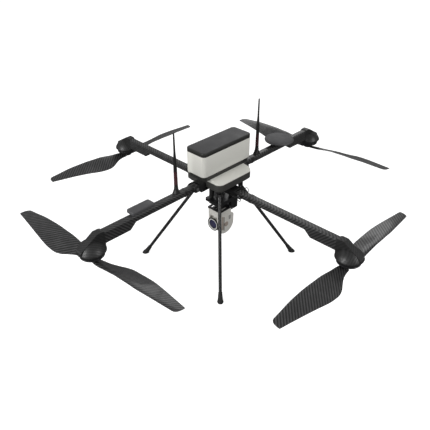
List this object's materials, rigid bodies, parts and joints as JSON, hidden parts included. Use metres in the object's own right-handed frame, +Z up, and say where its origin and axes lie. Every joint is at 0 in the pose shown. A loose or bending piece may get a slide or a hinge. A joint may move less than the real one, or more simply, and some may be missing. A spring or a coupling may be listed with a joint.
{
  "type": "quadcopter drone",
  "caption": "Folding camera quadcopter: box-section carbon arms in a cross, motors hung under the arm ends, a battery block on top, slim splayed legs and a stabilised camera below.",
  "frame": {"origin": "on the ground, under the centre of the body", "axes": "+Z up, -Y towards the nose and where the camera looks, +X towards the drone's left; the arms lie along X and Y"},
  "size_m": [0.9004, 0.9105, 0.431],
  "materials": {
    "carbon_weave": "twill carbon fibre under semi-gloss lacquer",
    "off_white": "satin moulded",
    "warm_grey": "satin moulded",
    "charcoal": "fine texture",
    "black_plastic": "satin moulded",
    "grey_plastic": "satin moulded",
    "black_metal": "black anodised",
    "motor_metal": "dark anodised",
    "steel": "brushed",
    "rubber": "matte",
    "circuit": "solder mask",
    "cell_foil": "laminated foil",
    "lens_glass": "coated glass in a black ring"
  },
  "bodies": {
    "airframe": {"body_tub": "carbon_weave", "body_cover": "off_white", "frame_hub": "black_plastic", "avionics_board": "circuit", "power_board": "circuit", "battery_tray": "black_plastic", "battery_connector": "black_plastic", "payload_plate": "carbon_weave", "plate_screws": "steel", "arm_bracket_front": "black_plastic", "arm_bracket_rear": "black_plastic", "arm_bracket_left": "black_plastic", "arm_bracket_right": "black_plastic", "arm_hinge_pins": "steel", "leg_brackets": "black_plastic", "leg_hinge_pins": "steel", "gimbal_dampers": "rubber", "gimbal_carrier": "black_metal"},
    "battery": {"battery_case": "off_white", "battery_cap": "charcoal", "battery_cells": "cell_foil"},
    "battery_release_button": {"battery_release": "grey_plastic"},
    "battery_power_button": {"power_button": "grey_plastic"},
    "gimbal_yaw": {"gimbal_yaw_arm": "black_metal"},
    "gimbal_roll": {"gimbal_roll_frame": "black_metal", "camera_yoke": "warm_grey"},
    "camera": {"camera_drum": "charcoal", "camera_lens": "lens_glass"},
    "arm_front": {"arm_tube_front": "carbon_weave", "motor_cover_front": "carbon_weave", "motor_stator_front": "motor_metal", "antenna_front": "black_plastic", "radio_module": "charcoal"},
    "rotor_front": {"motor_bell_front": "motor_metal", "propeller_front": "carbon_weave"},
    "arm_rear": {"arm_tube_rear": "carbon_weave", "motor_cover_rear": "carbon_weave", "motor_stator_rear": "motor_metal", "antenna_rear": "black_plastic", "gnss_receiver": "grey_plastic"},
    "rotor_rear": {"motor_bell_rear": "motor_metal", "propeller_rear": "carbon_weave"},
    "arm_left": {"arm_tube_left": "carbon_weave", "motor_cover_left": "carbon_weave", "motor_stator_left": "motor_metal"},
    "rotor_left": {"motor_bell_left": "motor_metal", "propeller_left": "carbon_weave"},
    "arm_right": {"arm_tube_right": "carbon_weave", "motor_cover_right": "carbon_weave", "motor_stator_right": "motor_metal"},
    "rotor_right": {"motor_bell_right": "motor_metal", "propeller_right": "carbon_weave"},
    "leg_front_left": {"leg_tube_front_left": "carbon_weave", "leg_foot_front_left": "rubber"},
    "leg_rear_left": {"leg_tube_rear_left": "carbon_weave", "leg_foot_rear_left": "rubber"},
    "leg_rear_right": {"leg_tube_rear_right": "carbon_weave", "leg_foot_rear_right": "rubber"},
    "leg_front_right": {"leg_tube_front_right": "carbon_weave", "leg_foot_front_right": "rubber"}
  },
  "joints": [
    {"name": "battery_lift", "type": "slide", "parent": "airframe", "child": "battery", "axis": [0, 0, 1], "range_m": [0, 0.08]},
    {"name": "battery_release_press", "type": "slide", "parent": "airframe", "child": "battery_release_button", "axis": [0, -1, 0], "range_m": [0, 0.0025], "stiffness_N_per_m": 800, "springref_m": -0.002},
    {"name": "power_button_press", "type": "slide", "parent": "battery", "child": "battery_power_button", "axis": [0, -1, 0], "range_m": [0, 0.0015], "stiffness_N_per_m": 800, "springref_m": -0.002},
    {"name": "gimbal_pan", "type": "hinge", "parent": "airframe", "child": "gimbal_yaw", "pos_m": [0, 0.009, 0.184], "axis": [0, 0, 1], "range_deg": [-170, 170]},
    {"name": "gimbal_roll_turn", "type": "hinge", "parent": "gimbal_yaw", "child": "gimbal_roll", "pos_m": [0, 0.032, 0.154], "axis": [0, -1, 0], "range_deg": [-25, 25]},
    {"name": "camera_tilt", "type": "hinge", "parent": "gimbal_roll", "child": "camera", "pos_m": [0, 0.009, 0.105], "axis": [1, 0, 0], "range_deg": [0, 90]},
    {"name": "arm_fold_front", "type": "hinge", "parent": "airframe", "child": "arm_front", "pos_m": [0, -0.094, 0.258], "axis": [1, 0, 0], "range_deg": [0, 85]},
    {"name": "rotor_spin_front", "type": "hinge", "parent": "arm_front", "child": "rotor_front", "pos_m": [0, -0.411, 0.228], "axis": [0, 0, 1], "continuous": true},
    {"name": "arm_fold_rear", "type": "hinge", "parent": "airframe", "child": "arm_rear", "pos_m": [0, 0.094, 0.258], "axis": [1, 0, 0], "range_deg": [-85, 0]},
    {"name": "rotor_spin_rear", "type": "hinge", "parent": "arm_rear", "child": "rotor_rear", "pos_m": [0, 0.411, 0.228], "axis": [0, 0, 1], "continuous": true},
    {"name": "arm_fold_left", "type": "hinge", "parent": "airframe", "child": "arm_left", "pos_m": [0.082, 0, 0.2325], "axis": [0, 1, 0], "range_deg": [0, 85]},
    {"name": "rotor_spin_left", "type": "hinge", "parent": "arm_left", "child": "rotor_left", "pos_m": [0.411, 0, 0.2025], "axis": [0, 0, 1], "continuous": true},
    {"name": "arm_fold_right", "type": "hinge", "parent": "airframe", "child": "arm_right", "pos_m": [-0.082, 0, 0.2325], "axis": [0, 1, 0], "range_deg": [-85, 0]},
    {"name": "rotor_spin_right", "type": "hinge", "parent": "arm_right", "child": "rotor_right", "pos_m": [-0.411, 0, 0.2025], "axis": [0, 0, 1], "continuous": true},
    {"name": "leg_fold_front_left", "type": "hinge", "parent": "airframe", "child": "leg_front_left", "pos_m": [0.04101, -0.04101, 0.228], "axis": [0.7071, 0.7071, 0], "range_deg": [0, 20]},
    {"name": "leg_fold_rear_left", "type": "hinge", "parent": "airframe", "child": "leg_rear_left", "pos_m": [0.04101, 0.04101, 0.228], "axis": [-0.7071, 0.7071, 0], "range_deg": [0, 20]},
    {"name": "leg_fold_rear_right", "type": "hinge", "parent": "airframe", "child": "leg_rear_right", "pos_m": [-0.04101, 0.04101, 0.228], "axis": [-0.7071, -0.7071, 0], "range_deg": [0, 20]},
    {"name": "leg_fold_front_right", "type": "hinge", "parent": "airframe", "child": "leg_front_right", "pos_m": [-0.04101, -0.04101, 0.228], "axis": [0.7071, -0.7071, 0], "range_deg": [0, 20]}
  ]
}
